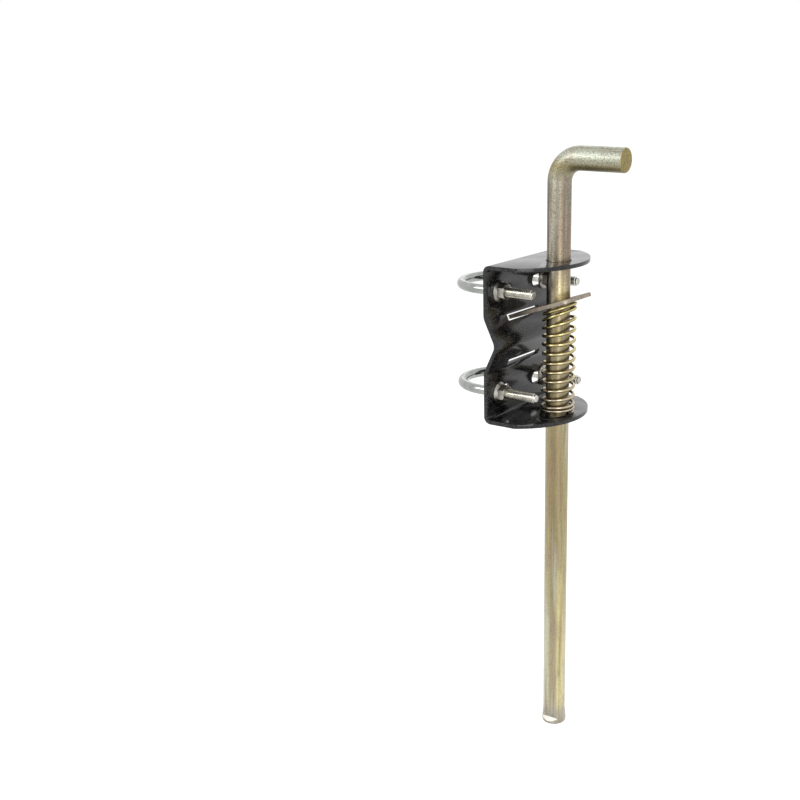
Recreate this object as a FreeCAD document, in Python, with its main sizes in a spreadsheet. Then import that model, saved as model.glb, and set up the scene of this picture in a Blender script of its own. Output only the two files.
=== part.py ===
# Gate drop bolt: a round bolt with a bent handle slides through the two ears
# of a folded bracket. A tilted lever round the bolt, held up by a spring,
# grips it at any height, and two U-bolts clamp the bracket to a gate tube.
# Millimetres. The origin is on the axis of the gate tube, half way up the
# bracket. +X runs from the tube to the bolt, +Z is up.

import FreeCAD, Part
import math
import os

import Sketcher
from FreeCAD import Placement, Rotation, Vector

doc = FreeCAD.newDocument("GateDropBolt")
sheet = doc.addObject("Spreadsheet::Sheet", "Sizes")

SIZES = [
    # Folded plate
    ("tube_radius", 22.225, "radius of the gate tube that the web rests on"),
    ("plate_thickness", 3.2, "thickness of the folded plate"),
    ("bracket_half_height", 64.0, "mid-height to the outer face of an ear"),
    ("bracket_width", 101.6, "width of the web and the ears"),
    ("ear_radius", 58.2, "rounded front of the ears, centred on the web's back"),
    ("bend_radius", 2.4, "inside radius of the ears' bends"),
    ("bolt_reach", 60.3, "tube axis to bolt axis"),
    ("ear_hole_diameter", 20.64, "hole for the bolt in each ear"),
    ("dent_depth", 10.6, "how far the web is pressed forward at mid-height"),
    ("dent_half_height", 22.0, "mid-height to where the dent starts"),
    ("dent_bend_radius", 9.0, "front radius where the dent starts"),
    ("dent_nose_radius", 8.0, "back radius of the dent's nose"),
    # Slots for the lever's tail
    ("tail_slot_rise", 17.8, "mid-height to the middle of a tail slot"),
    ("tail_slot_length", 47.0, "length of a tail slot across the web"),
    ("tail_slot_height", 5.3, "height of a tail slot along the slope"),
    # Slots for the clamp legs
    ("clamp_rise", 41.5, "mid-height to a U-bolt"),
    ("leg_slot_middle", 27.8, "middle of the web to the middle of a leg slot"),
    ("leg_slot_length", 22.5, "overall length of a leg slot"),
    ("leg_slot_width", 9.5, "height of a leg slot"),
    # U-bolts
    ("clamp_wire_diameter", 7.94, "wire of the U-bolts"),
    ("clamp_leg_spread", 34.1, "middle of the web to the middle of a leg"),
    ("upper_leg_front", 58.6, "tube axis to the free ends of the upper U-bolt's legs"),
    ("lower_leg_front", 61.5, "tube axis to the free ends of the lower U-bolt's legs"),
    ("clamp_leg_chamfer", 0.9, "chamfer at the free end of a leg"),
    # Flange nuts
    ("nut_flats", 12.7, "width across flats"),
    ("nut_height", 8.7, "overall height with the flange"),
    ("nut_flange_diameter", 17.4, "diameter of the flange"),
    ("nut_flange_rim", 1.3, "height of the flange's rim"),
    ("nut_flange_rise", 3.2, "height where the flange's cone ends"),
    ("nut_bore_play", 0.05, "radial play of the nut on the leg"),
    ("nut_chamfer", 0.9, "height of the chamfer on the hexagon's corners"),
    # Sliding bolt
    ("bolt_diameter", 19.05, "diameter of the round bar"),
    ("bolt_drop", 346.0, "mid-height of the bracket to the bolt's tip"),
    ("handle_rise", 144.0, "mid-height of the bracket to the handle's axis"),
    ("handle_reach", 58.1, "bolt axis to the end of the handle"),
    ("handle_bend_radius", 19.0, "bend between bolt and handle, on the axis"),
    ("handle_end_round", 1.4, "rounded rim at the handle's end"),
    ("tip_flare", 1.0, "how far the pressed tip stands out on each side"),
    ("tip_flare_height", 14.0, "tip to where the flare starts"),
    ("tip_round", 1.4, "chamfered rim at the tip"),
    ("tip_notch_depth", 2.8, "depth of the pressed notches at the tip"),
    ("tip_notch_top", 16.0, "tip to the upper edge of a notch"),
    ("tip_notch_floor", 6.2, "tip to the deepest line of a notch"),
    ("tip_notch_bottom", 3.4, "tip to the lower edge of a notch"),
    # Locking lever
    ("lever_lift", 0.2, "how far the lever lies above the middle of its slot"),
    ("lever_thickness", 3.2, "thickness of the lever's plate"),
    ("lever_width", 42.5, "width of the lever"),
    ("lever_tilt", 18.7, "degrees that the lever's free end is raised"),
    ("lever_front", 22.0, "centre of the lever's hole to its free end"),
    ("lever_tail", 37.7, "centre of the lever's hole to its tail end"),
    ("lever_corner_radius", 8.0, "rounded corners of the free end"),
    ("lever_tail_corner", 3.0, "cut corners of the tail"),
    ("lever_hole_diameter", 21.26, "hole of the lever round the bolt"),
    # Spring
    ("spring_wire_diameter", 2.6, "wire of the spring"),
    ("spring_outside_diameter", 28.2, "outside diameter of the spring"),
    ("spring_turns", 13.4, "turns of the spring with its closed ends"),
    ("spring_shift", 1.4, "how far the lever pushes the spring's top forward"),
    ("spring_play", 0.06, "gap between the spring and what it touches"),
]

for row, (alias, value, meaning) in enumerate(SIZES, start=1):
    sheet.set("A" + str(row), alias)
    sheet.set("B" + str(row), str(value))
    sheet.set("C" + str(row), meaning)
    sheet.setAlias("B" + str(row), alias)
doc.recompute()


def size(alias):
    """A size from the sheet as a number."""
    return float(sheet.get(alias))


def bind(thing, prop, formula):
    """Tie one property to the sheet; each size is written with an @."""
    thing.setExpression(prop, formula.replace("@", "Sizes."))


def new_body(name):
    body = doc.addObject("PartDesign::Body", name)
    body.Label = name
    return body


def new_sketch(body, name, role, offset=None):
    """A sketch on one of the body's own origin planes."""
    sketch = body.newObject("Sketcher::SketchObject", name)
    plane = next(p for p in body.Origin.OriginFeatures if p.Role == role)
    sketch.AttachmentSupport = [(plane, "")]
    sketch.MapMode = "FlatFace"
    if offset:
        bind(sketch, "AttachmentOffset.Base.z", offset)
    return sketch


def pin(sketch, geo, point, label, across, up):
    """Fix one point of a sketch at bound distances from its origin."""
    place = sketch.getPoint(geo, point)
    for kind, axis, value, formula in (
        ("DistanceX", "x", place.x, across),
        ("DistanceY", "y", place.y, up),
    ):
        if formula is None:
            continue
        index = sketch.addConstraint(Sketcher.Constraint(kind, -1, 1, geo, point, value))
        sketch.renameConstraint(index, label + "_" + axis)
        bind(sketch, "Constraints." + label + "_" + axis, formula)


def outline(sketch, corners, closed=True):
    """Straight lines from corner to corner; each corner holds its label,
    its rough place and the two formulas that fix it."""
    points = [Vector(c[1], c[2], 0) for c in corners]
    count = len(points)
    lines = []
    for i in range(count if closed else count - 1):
        line = Part.LineSegment(points[i], points[(i + 1) % count])
        lines.append(sketch.addGeometry(line, False))
    for first, second in zip(lines, lines[1:]):
        sketch.addConstraint(Sketcher.Constraint("Coincident", first, 2, second, 1))
    if closed:
        sketch.addConstraint(Sketcher.Constraint("Coincident", lines[-1], 2, lines[0], 1))
    for i, line in enumerate(lines):
        pin(sketch, line, 1, corners[i][0], corners[i][3], corners[i][4])
    if not closed:
        pin(sketch, lines[-1], 2, corners[-1][0], corners[-1][3], corners[-1][4])
    return lines


def circle(sketch, label, across, up, formula, rough=10.0):
    """A circle with a bound centre and a bound diameter."""
    centre = Vector(rough, rough, 0)
    geo = sketch.addGeometry(Part.Circle(centre, Vector(0, 0, 1), rough), False)
    pin(sketch, geo, 3, label, across, up)
    index = sketch.addConstraint(Sketcher.Constraint("Diameter", geo, 2 * rough))
    sketch.renameConstraint(index, label + "_diameter")
    bind(sketch, "Constraints." + label + "_diameter", formula)
    return geo


def pad(body, name, sketch, length, symmetric=True):
    feature = body.newObject("PartDesign::Pad", name)
    feature.Profile = sketch
    feature.SideType = "Symmetric" if symmetric else "One side"
    bind(feature, "Length", length)
    doc.recompute()
    return feature


def pocket(body, name, sketch, length=None):
    """A cut to both sides of its sketch, through everything if no length."""
    before = body.Shape.Volume
    feature = body.newObject("PartDesign::Pocket", name)
    feature.Profile = sketch
    feature.SideType = "Symmetric"
    feature.Type = "Length" if length else "ThroughAll"
    if length:
        bind(feature, "Length", length)
    doc.recompute()
    if not body.Shape.Volume < before - 1e-3:
        raise ValueError(name + " takes nothing away")
    return feature


def dress(body, kind, name, wanted, prop, formula):
    """A fillet or chamfer on the edges of the body that wanted() picks."""
    tip = body.Tip
    picked = []
    for index, edge in enumerate(tip.Shape.Edges, start=1):
        if wanted(edge):
            picked.append("Edge" + str(index))
    if not picked:
        raise ValueError(name + " finds no edge")
    feature = body.newObject("PartDesign::" + kind, name)
    feature.Base = (tip, picked)
    bind(feature, prop, formula)
    doc.recompute()
    return feature


def edge_across(x, z):
    """Picks the straight edges that run along Y through one point."""

    def wanted(edge):
        ends = [v.Point for v in edge.Vertexes]
        if len(ends) != 2 or abs(ends[0].y - ends[1].y) < 1.0:
            return False
        return all(abs(p.x - x) < 0.05 and abs(p.z - z) < 0.05 for p in ends)

    return wanted


# Folded bracket: web with a dent at mid-height, and an ear at each end.

SLOPE = "atan(@dent_depth / @dent_half_height)"
FRONT = "@tube_radius + @plate_thickness"
EAR_TIP = "@tube_radius + @ear_radius"
FRONT_BEND = f"@dent_half_height + @plate_thickness * tan({SLOPE} / 2)"
NOSE_BACK = "@tube_radius + @dent_depth"
NOSE_FRONT = f"{NOSE_BACK} + @plate_thickness / cos({SLOPE})"

web_back = size("tube_radius")
thick = size("plate_thickness")
top = size("bracket_half_height")
ear_tip = web_back + size("ear_radius")
dent = size("dent_half_height")
slope = math.atan2(size("dent_depth"), dent)
front_bend = dent + thick * math.tan(slope / 2)
nose_back = web_back + size("dent_depth")
nose_front = nose_back + thick / math.cos(slope)

bracket = new_body("bracket")
profile = new_sketch(bracket, "folded_profile", "XZ_Plane")
outline(
    profile,
    [
        ("tip_top", ear_tip, top, EAR_TIP, "@bracket_half_height"),
        ("heel_top", web_back, top, "@tube_radius", "@bracket_half_height"),
        ("dent_top", web_back, dent, "@tube_radius", "@dent_half_height"),
        ("nose_back", nose_back, 0, NOSE_BACK, "0"),
        ("dent_low", web_back, -dent, "@tube_radius", "-@dent_half_height"),
        ("heel_low", web_back, -top, "@tube_radius", "-@bracket_half_height"),
        ("tip_low", ear_tip, -top, EAR_TIP, "-@bracket_half_height"),
        ("tip_low_in", ear_tip, thick - top, EAR_TIP, "@plate_thickness - @bracket_half_height"),
        ("heel_low_in", web_back + thick, thick - top, FRONT, "@plate_thickness - @bracket_half_height"),
        ("front_low", web_back + thick, -front_bend, FRONT, f"-({FRONT_BEND})"),
        ("nose_front", nose_front, 0, NOSE_FRONT, "0"),
        ("front_top", web_back + thick, front_bend, FRONT, FRONT_BEND),
        ("heel_top_in", web_back + thick, top - thick, FRONT, "@bracket_half_height - @plate_thickness"),
        ("tip_top_in", ear_tip, top - thick, EAR_TIP, "@bracket_half_height - @plate_thickness"),
    ],
)
pad(bracket, "folded_plate", profile, "@bracket_width")

for side in (1, -1):
    end = "top" if side > 0 else "low"
    dress(bracket, "Fillet", f"ear_bend_inside_{end}",
          edge_across(web_back + thick, side * (top - thick)), "Radius", "@bend_radius")
    dress(bracket, "Fillet", f"ear_bend_outside_{end}",
          edge_across(web_back, side * top), "Radius", "@bend_radius + @plate_thickness")
    dress(bracket, "Fillet", f"dent_bend_front_{end}",
          edge_across(web_back + thick, side * front_bend), "Radius", "@dent_bend_radius")
    dress(bracket, "Fillet", f"dent_bend_back_{end}",
          edge_across(web_back, side * dent), "Radius", "@dent_bend_radius + @plate_thickness")
dress(bracket, "Fillet", "nose_bend_back",
      edge_across(nose_back, 0), "Radius", "@dent_nose_radius")
dress(bracket, "Fillet", "nose_bend_front",
      edge_across(nose_front, 0), "Radius", "@dent_nose_radius + @plate_thickness")

# The ears' rounded fronts: what lies outside the arc is cut away.
half_width = size("bracket_width") / 2
arc_radius = size("ear_radius")
arc_start = web_back + math.sqrt(arc_radius ** 2 - half_width ** 2)
ARC_START = "@tube_radius + sqrt(@ear_radius ^ 2 - (@bracket_width / 2) ^ 2)"
CUT_FRONT = f"{EAR_TIP} + @plate_thickness"
CUT_SIDE = "@bracket_width / 2 + @plate_thickness"
front_cut = new_sketch(bracket, "ear_front_outline", "XY_Plane")
cut_lines = outline(
    front_cut,
    [
        ("left_in", arc_start, half_width, ARC_START, "@bracket_width / 2"),
        ("left_out", arc_start, half_width + thick, ARC_START, CUT_SIDE),
        ("left_far", ear_tip + thick, half_width + thick, CUT_FRONT, CUT_SIDE),
        ("right_far", ear_tip + thick, -half_width - thick, CUT_FRONT, f"-({CUT_SIDE})"),
        ("right_out", arc_start, -half_width - thick, ARC_START, f"-({CUT_SIDE})"),
        ("right_in", arc_start, -half_width, ARC_START, "-@bracket_width / 2"),
    ],
    closed=False,
)
half_angle = math.asin(half_width / arc_radius)
arc = front_cut.addGeometry(
    Part.ArcOfCircle(
        Part.Circle(Vector(web_back, 0, 0), Vector(0, 0, 1), arc_radius), -half_angle, half_angle
    ),
    False,
)
front_cut.addConstraint(Sketcher.Constraint("Coincident", arc, 1, cut_lines[-1], 2))
front_cut.addConstraint(Sketcher.Constraint("Coincident", arc, 2, cut_lines[0], 1))
pin(front_cut, arc, 3, "arc_centre", "@tube_radius", None)
pocket(bracket, "ear_fronts", front_cut)

bolt_holes = new_sketch(bracket, "bolt_hole_outline", "XY_Plane")
circle(bolt_holes, "bolt_hole", "@bolt_reach", "0", "@ear_hole_diameter")
pocket(bracket, "bolt_holes", bolt_holes)

# Tail slots, cut square to the dent's two sloping faces.
SLOT_X = (f"@tube_radius + (@dent_half_height - @tail_slot_rise) * tan({SLOPE})"
          f" + @plate_thickness / (2 * cos({SLOPE}))")
slot_x = (web_back + (dent - size("tail_slot_rise")) * math.tan(slope)
          + thick / (2 * math.cos(slope)))
for side in (1, -1):
    end = "upper" if side > 0 else "lower"
    tail_cut = new_sketch(bracket, f"tail_slot_outline_{end}", "XZ_Plane")
    corners = []
    for number, (along, down) in enumerate(((-1, -1), (1, -1), (1, 1), (-1, 1)), start=1):
        reach = 1.5 * thick
        half = size("tail_slot_height") / 2
        x = slot_x + along * reach * math.cos(slope) + down * half * math.sin(slope)
        z = size("tail_slot_rise") + along * reach * math.sin(slope) - down * half * math.cos(slope)
        along_text = f"{along} * 1.5 * @plate_thickness"
        down_text = f"{down} * @tail_slot_height / 2"
        across = f"{SLOT_X} + {along_text} * cos({SLOPE}) + {down_text} * sin({SLOPE})"
        up = f"{side} * (@tail_slot_rise + {along_text} * sin({SLOPE}) - {down_text} * cos({SLOPE}))"
        corners.append((f"corner_{number}", x, side * z, across, up))
    outline(tail_cut, corners)
    pocket(bracket, f"tail_slot_{end}", tail_cut, "@tail_slot_length")

# Round-ended slots for the four legs of the U-bolts.
leg_slots = new_sketch(bracket, "leg_slot_outlines", "YZ_Plane")
slot_round = size("leg_slot_width") / 2
slot_run = size("leg_slot_length") / 2 - slot_round
for number, (side, level) in enumerate(((-1, 1), (1, 1), (-1, -1), (1, -1)), start=1):
    middle = side * size("leg_slot_middle")
    rise = level * size("clamp_rise")
    left = Vector(middle - slot_run, rise, 0)
    right = Vector(middle + slot_run, rise, 0)
    lift = Vector(0, slot_round, 0)
    normal = Vector(0, 0, 1)
    upper = leg_slots.addGeometry(Part.LineSegment(right + lift, left + lift), False)
    lower = leg_slots.addGeometry(Part.LineSegment(left - lift, right - lift), False)
    left_arc = leg_slots.addGeometry(
        Part.ArcOfCircle(Part.Circle(left, normal, slot_round), math.pi / 2, 3 * math.pi / 2), False)
    right_arc = leg_slots.addGeometry(
        Part.ArcOfCircle(Part.Circle(right, normal, slot_round), -math.pi / 2, math.pi / 2), False)
    for first, first_end, second, second_end in (
        (upper, 2, left_arc, 1), (left_arc, 2, lower, 1),
        (lower, 2, right_arc, 1), (right_arc, 2, upper, 1),
    ):
        leg_slots.addConstraint(
            Sketcher.Constraint("Tangent", first, first_end, second, second_end))
    leg_slots.addConstraint(Sketcher.Constraint("Equal", left_arc, right_arc))
    run = "(@leg_slot_length - @leg_slot_width) / 2"
    pin(leg_slots, left_arc, 3, f"slot_{number}_left",
        f"{side} * @leg_slot_middle - {run}", f"{level} * @clamp_rise")
    pin(leg_slots, right_arc, 3, f"slot_{number}_right",
        f"{side} * @leg_slot_middle + {run}", None)
    leg_slots.addConstraint(Sketcher.Constraint("Horizontal", upper))
    index = leg_slots.addConstraint(Sketcher.Constraint("Radius", left_arc, slot_round))
    leg_slots.renameConstraint(index, f"slot_{number}_radius")
    bind(leg_slots, f"Constraints.slot_{number}_radius", "@leg_slot_width / 2")
pocket(bracket, "leg_slots", leg_slots, f"2 * ({FRONT} + 1)")


def turned_bend(body, name, sketch, axis, angle, reversed_turn=False):
    """A round bend: the circle of the sketch turned about one of its axes."""
    before = body.Shape.Volume
    turn = body.newObject("PartDesign::Revolution", name)
    turn.Profile = sketch
    turn.ReferenceAxis = (sketch, [axis])
    turn.Angle = angle
    turn.Reversed = reversed_turn
    doc.recompute()
    if not body.Shape.Volume > before + 1:
        raise ValueError(name + " adds nothing")
    return turn


# Sliding bolt with its bent handle and its pressed tip.

bolt = new_body("drop_rod")
bind(bolt, "Placement.Base.x", "@bolt_reach")
drop = size("bolt_drop")
rise = size("handle_rise")
bend = size("handle_bend_radius")
reach = size("handle_reach")
radius = size("bolt_diameter") / 2
flare_height = size("tip_flare_height")

bar_foot = new_sketch(bolt, "bar_section", "XY_Plane", "@tip_flare_height - @bolt_drop")
circle(bar_foot, "bar", "0", "0", "@bolt_diameter")
pad(bolt, "straight_bar", bar_foot,
    "@handle_rise - @handle_bend_radius + @bolt_drop - @tip_flare_height", symmetric=False)
bend_foot = new_sketch(bolt, "bend_section", "XY_Plane", "@handle_rise - @handle_bend_radius")
circle(bend_foot, "bar", "0", "0", "@bolt_diameter")
bend_axis = bend_foot.addGeometry(Part.LineSegment(Vector(bend, -bend, 0), Vector(bend, bend, 0)), True)
pin(bend_foot, bend_axis, 1, "axis_start", "@handle_bend_radius", "-@handle_bend_radius")
pin(bend_foot, bend_axis, 2, "axis_end", "@handle_bend_radius", "@handle_bend_radius")
doc.recompute()
turned_bend(bolt, "handle_bend", bend_foot, "Axis0", 90)
handle_foot = new_sketch(bolt, "handle_section", "YZ_Plane", "@handle_bend_radius")
circle(handle_foot, "bar", "0", "@handle_rise", "@bolt_diameter")
pad(bolt, "handle", handle_foot, "@handle_reach - @handle_bend_radius", symmetric=False)
dress(bolt, "Fillet", "handle_end_rim",
      lambda edge: all(abs(v.Point.x - reach) < 0.05 for v in edge.Vertexes),
      "Radius", "@handle_end_round")

tip_profile = new_sketch(bolt, "tip_profile", "XZ_Plane")
RADIUS = "@bolt_diameter / 2"
tip_round = size("tip_round")
flare = size("tip_flare")
outline(
    tip_profile,
    [
        ("axis_low", 0, -drop, "0", "-@bolt_drop"),
        ("rim_low", radius - tip_round, -drop, f"{RADIUS} - @tip_round", "-@bolt_drop"),
        ("rim_side", radius + flare / 2, tip_round - drop,
         f"{RADIUS} + @tip_flare / 2", "@tip_round - @bolt_drop"),
        ("flare", radius + flare, flare_height / 4 - drop,
         f"{RADIUS} + @tip_flare", "@tip_flare_height / 4 - @bolt_drop"),
        ("join", radius, flare_height - drop, RADIUS, "@tip_flare_height - @bolt_drop"),
        ("axis_join", 0, flare_height - drop, "0", "@tip_flare_height - @bolt_drop"),
    ],
)
tip = bolt.newObject("PartDesign::Revolution", "flared_tip")
tip.Profile = tip_profile
tip.ReferenceAxis = (tip_profile, ["V_Axis"])
tip.Angle = 360
doc.recompute()

notch_profile = new_sketch(bolt, "notch_profile", "YZ_Plane")
NOTCH_OUT = f"{RADIUS} + @tip_flare + @tip_notch_depth / 10"
notch_out = radius + flare + size("tip_notch_depth") / 10
notch_in = radius - size("tip_notch_depth")
for side in (1, -1):
    end = "far" if side > 0 else "near"
    outline(
        notch_profile,
        [
            (end + "_top", side * notch_out, size("tip_notch_top") - drop,
             f"{side} * ({NOTCH_OUT})", "@tip_notch_top - @bolt_drop"),
            (end + "_floor", side * notch_in, size("tip_notch_floor") - drop,
             f"{side} * ({RADIUS} - @tip_notch_depth)", "@tip_notch_floor - @bolt_drop"),
            (end + "_bottom", side * notch_out, size("tip_notch_bottom") - drop,
             f"{side} * ({NOTCH_OUT})", "@tip_notch_bottom - @bolt_drop"),
        ],
    )
pocket(bolt, "tip_notches", notch_profile, "4 * @bolt_diameter")

# Locking lever: a flat plate with a hole, its tail in the upper slot.

TILT = "@lever_tilt * 1deg"
LEVER_Z = f"@tail_slot_rise + @lever_lift + (@bolt_reach - ({SLOT_X})) * tan({TILT})"
lever = new_body("lock_lever")
lever.Placement = Placement(Vector(0, 0, 0), Rotation(Vector(0, -1, 0), size("lever_tilt")))
bind(lever, "Placement.Base.x", "@bolt_reach")
bind(lever, "Placement.Base.z", LEVER_Z)
bind(lever, "Placement.Rotation.Angle", TILT)
lever_outline = new_sketch(lever, "lever_outline", "XY_Plane")
front = size("lever_front")
tail = size("lever_tail")
side = size("lever_width") / 2
cut = size("lever_tail_corner")
outline(
    lever_outline,
    [
        ("front_left", front, side, "@lever_front", "@lever_width / 2"),
        ("tail_left", cut - tail, side, "@lever_tail_corner - @lever_tail", "@lever_width / 2"),
        ("end_left", -tail, side - cut, "-@lever_tail", "@lever_width / 2 - @lever_tail_corner"),
        ("end_right", -tail, cut - side, "-@lever_tail", "@lever_tail_corner - @lever_width / 2"),
        ("tail_right", cut - tail, -side, "@lever_tail_corner - @lever_tail", "-@lever_width / 2"),
        ("front_right", front, -side, "@lever_front", "-@lever_width / 2"),
    ],
)
pad(lever, "lever_plate", lever_outline, "@lever_thickness")


def upright_at_front(edge):
    """Picks the two short edges at the corners of the free end."""
    box = edge.BoundBox
    return box.XMin > front - 0.05 and box.YLength < 0.05


dress(lever, "Fillet", "free_end_corners", upright_at_front, "Radius", "@lever_corner_radius")
lever_hole = new_sketch(lever, "lever_hole_outline", "XY_Plane")
circle(lever_hole, "lever_hole", "0", "0", "@lever_hole_diameter")
pocket(lever, "lever_hole", lever_hole)

# U-bolts: the bend hugs the back of the gate tube.

BEND_X = "@clamp_leg_spread - @clamp_wire_diameter / 2 - @tube_radius"
bend_x = size("clamp_leg_spread") - size("clamp_wire_diameter") / 2 - web_back
spread = size("clamp_leg_spread")
for level, name in ((1, "upper_u_bolt"), (-1, "lower_u_bolt")):
    front_name = name.split("_")[0] + "_leg_front"
    leg_front = size(front_name)
    clamp = new_body(name)
    bind(clamp, "Placement.Base.z", f"{level} * @clamp_rise")
    for side, side_name in ((-1, "near"), (1, "far")):
        leg_foot = new_sketch(clamp, f"{name}_{side_name}_leg_section", "YZ_Plane", BEND_X)
        circle(leg_foot, "wire", f"{side} * @clamp_leg_spread", "0", "@clamp_wire_diameter")
        if side < 0:
            pad(clamp, f"{name}_near_leg", leg_foot, f"@{front_name} - ({BEND_X})", symmetric=False)
            turned_bend(clamp, f"{name}_bend", leg_foot, "V_Axis", 180, reversed_turn=True)
        else:
            pad(clamp, f"{name}_far_leg", leg_foot, f"@{front_name} - ({BEND_X})", symmetric=False)
    dress(clamp, "Chamfer", name + "_ends",
          lambda edge: all(abs(v.Point.x - leg_front) < 0.05 for v in edge.Vertexes),
          "Size", "@clamp_leg_chamfer")

# Flange nuts, seated on the front of the web round each leg.

flats = size("nut_flats")
height = size("nut_height")
flange = size("nut_flange_diameter") / 2
for level, level_name in ((1, "upper"), (-1, "lower")):
    for side, side_name in ((-1, "near"), (1, "far")):
        name = f"{level_name}_{side_name}_nut"
        nut = new_body(name)
        bind(nut, "Placement.Base.x", FRONT)
        bind(nut, "Placement.Base.y", f"{side} * @clamp_leg_spread")
        bind(nut, "Placement.Base.z", f"{level} * @clamp_rise")
        flange_profile = new_sketch(nut, name + "_flange_profile", "XY_Plane")
        outline(
            flange_profile,
            [
                ("axis_back", 0, 0, "0", "0"),
                ("rim_back", 0, flange, "0", "@nut_flange_diameter / 2"),
                ("rim_front", size("nut_flange_rim"), flange,
                 "@nut_flange_rim", "@nut_flange_diameter / 2"),
                ("cone_front", size("nut_flange_rise"), flats / 2,
                 "@nut_flange_rise", "@nut_flats / 2"),
                ("axis_front", size("nut_flange_rise"), 0, "@nut_flange_rise", "0"),
            ],
        )
        turned = nut.newObject("PartDesign::Revolution", name + "_flange")
        turned.Profile = flange_profile
        turned.ReferenceAxis = (flange_profile, ["H_Axis"])
        turned.Angle = 360
        doc.recompute()
        hexagon = new_sketch(nut, name + "_hexagon", "YZ_Plane")
        corners = []
        for number in range(6):
            angle = 60 * number + 30
            y = flats / math.sqrt(3) * math.cos(math.radians(angle))
            z = flats / math.sqrt(3) * math.sin(math.radians(angle))
            corners.append((f"corner_{number}", y, z,
                            f"@nut_flats / sqrt(3) * cos({angle}deg)",
                            f"@nut_flats / sqrt(3) * sin({angle}deg)"))
        outline(hexagon, corners)
        pad(nut, name + "_block", hexagon, "@nut_height", symmetric=False)
        # The hexagon's corners are turned down to a cone at its front.
        corner = flats / math.sqrt(3)
        cone = new_sketch(nut, name + "_cone_profile", "XY_Plane")
        outline(
            cone,
            [
                ("low", height - size("nut_chamfer"), corner,
                 "@nut_height - @nut_chamfer", "@nut_flats / sqrt(3)"),
                ("out", height + 1, corner, "@nut_height + 1", "@nut_flats / sqrt(3)"),
                ("in", height + 1, flats / 2 - 1, "@nut_height + 1",
                 "@nut_flats / 2 - (@nut_flats / sqrt(3) - @nut_flats / 2) / @nut_chamfer"),
            ],
        )
        doc.recompute()
        turned_down = nut.newObject("PartDesign::Groove", name + "_corners")
        turned_down.Profile = cone
        turned_down.ReferenceAxis = (cone, ["H_Axis"])
        turned_down.Angle = 360
        doc.recompute()
        bore = new_sketch(nut, name + "_bore_outline", "YZ_Plane")
        circle(bore, "bore", "0", "0", "@clamp_wire_diameter + 2 * @nut_bore_play")
        pocket(nut, name + "_bore", bore)

# Compression spring between the lower ear and the lever. Its ends are
# closed, and its upper turns lean over until they lie along the lever.

wire = size("spring_wire_diameter")
coil = (size("spring_outside_diameter") - wire) / 2
turns = size("spring_turns")
play = size("spring_play")
tilt = math.radians(size("lever_tilt"))
hole_height = (size("tail_slot_rise") + size("lever_lift")
               + (size("bolt_reach") - slot_x) * math.tan(tilt))
seat = thick - top + wire / 2 + play
shift = size("spring_shift")
crown = (hole_height + shift * math.tan(tilt)
         - (size("lever_thickness") / 2 + wire / 2 + play) / math.cos(tilt))
CLOSED_BELOW = 1.5
CLOSED_ABOVE = 0.75
RAMP = 1.0
LEAN_TURNS = 4.0
STEPS_PER_TURN = 20
WIRE_SIDES = 8
closed_pitch = wire * 1.04
closed_turns = CLOSED_BELOW + CLOSED_ABOVE + RAMP
open_pitch = (crown - seat - closed_pitch * closed_turns) / (turns - closed_turns)


def smooth(value):
    value = min(max(value, 0.0), 1.0)
    return value * value * (3 - 2 * value)


def climb(turn):
    """Height of the wire above its lower end after so many turns."""
    height_reached = closed_pitch * turn
    opening = 0.0
    steps = 40
    for step in range(steps):
        at = turn * (step + 0.5) / steps
        rising = min(max((at - CLOSED_BELOW) / RAMP, 0.0), 1.0)
        falling = min(max((turns - CLOSED_ABOVE - at) / RAMP, 0.0), 1.0)
        opening += min(rising, falling) * turn / steps
    return height_reached + (open_pitch - closed_pitch) * opening


count = int(round(turns * STEPS_PER_TURN))
scale_up = (crown - seat) / climb(turns)
path_points = []
for step in range(count + 1):
    turn = turns * step / count
    angle = 2 * math.pi * turn
    x = coil * math.cos(angle)
    lean = smooth((turn - turns + LEAN_TURNS + 1) / LEAN_TURNS)
    z = seat + scale_up * climb(turn) + lean * x * math.tan(tilt)
    forward = shift * turn / turns
    path_points.append(Vector(size("bolt_reach") + forward + x, coil * math.sin(angle), z))

# The wire's section has flat sides and the area of the round wire.
corner_reach = wire / 2 * math.sqrt(2 * math.pi / (WIRE_SIDES * math.sin(2 * math.pi / WIRE_SIDES)))
sections = []
length = 0.0
for number, point in enumerate(path_points):
    before = path_points[max(number - 1, 0)]
    after = path_points[min(number + 1, count)]
    along = (after - before).normalize()
    middle = size("bolt_reach") + shift * number / count
    outward = Vector(point.x - middle, point.y, 0).normalize()
    across = along.cross(outward).normalize()
    outward = across.cross(along)
    ring = []
    for corner in range(WIRE_SIDES):
        angle = 2 * math.pi * (corner + 0.5) / WIRE_SIDES
        ring.append(point + outward * (corner_reach * math.cos(angle))
                    + across * (corner_reach * math.sin(angle)))
    sections.append(Part.makePolygon(ring + ring[:1]))
    if number:
        length += (point - path_points[number - 1]).Length
spring = doc.addObject("Part::Feature", "spring")
spring.Label = "spring"
spring.Shape = Part.makeLoft(sections, True, True)
spring.Placement = Placement(Vector(0, 0, 0), Rotation())
if abs(spring.Shape.Volume / (math.pi * (wire / 2) ** 2 * length) - 1) > 0.02:
    raise ValueError("the spring's volume is wrong")

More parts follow.
